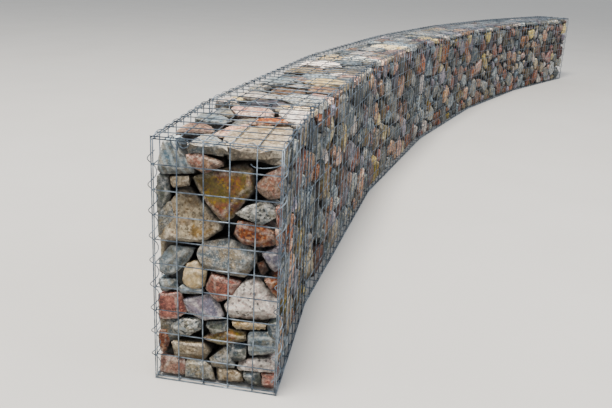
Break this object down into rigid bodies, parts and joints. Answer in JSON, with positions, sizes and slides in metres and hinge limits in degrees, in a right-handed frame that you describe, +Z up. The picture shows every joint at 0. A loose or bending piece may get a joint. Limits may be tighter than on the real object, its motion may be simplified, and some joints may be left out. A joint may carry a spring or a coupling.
{
  "type": "gabion wall",
  "caption": "Free-standing curved run of stone-filled welded wire baskets with lids, dividers and spiral binders.",
  "frame": {"origin": "middle of the wall's bounding box in plan, at ground level under the base mesh", "axes": "+Z up, +Y from the near end along the run, +X towards the side that the run bends to"},
  "size_m": [3.074, 10.606, 1.0076],
  "materials": {
    "galvanised_wire": "hot-dip galvanised steel wire, weathered dull",
    "granite_fill": "broken quarry stone in greys, pinks and ochres"
  },
  "bodies": {
    "root": {"front_sheet_1": "galvanised_wire", "back_sheet_1": "galvanised_wire", "lid_1": "galvanised_wire", "base_1": "galvanised_wire", "front_sheet_2": "galvanised_wire", "back_sheet_2": "galvanised_wire", "lid_2": "galvanised_wire", "base_2": "galvanised_wire", "front_sheet_3": "galvanised_wire", "back_sheet_3": "galvanised_wire", "lid_3": "galvanised_wire", "base_3": "galvanised_wire", "front_sheet_4": "galvanised_wire", "back_sheet_4": "galvanised_wire", "lid_4": "galvanised_wire", "base_4": "galvanised_wire", "front_sheet_5": "galvanised_wire", "back_sheet_5": "galvanised_wire", "lid_5": "galvanised_wire", "base_5": "galvanised_wire", "front_sheet_6": "galvanised_wire", "back_sheet_6": "galvanised_wire", "lid_6": "galvanised_wire", "base_6": "galvanised_wire", "near_end_sheet": "galvanised_wire", "far_end_sheet": "galvanised_wire", "divider_1": "galvanised_wire", "divider_2": "galvanised_wire", "divider_3": "galvanised_wire", "divider_4": "galvanised_wire", "divider_5": "galvanised_wire", "corner_spiral_1": "galvanised_wire", "corner_spiral_2": "galvanised_wire", "corner_spiral_3": "galvanised_wire", "corner_spiral_4": "galvanised_wire", "near_end_top_spiral": "galvanised_wire", "far_end_top_spiral": "galvanised_wire", "stone_fill_1": "granite_fill", "stone_fill_2": "granite_fill", "stone_fill_3": "granite_fill", "stone_fill_4": "granite_fill", "stone_fill_5": "granite_fill", "stone_fill_6": "granite_fill"}
  },
  "joints": []
}
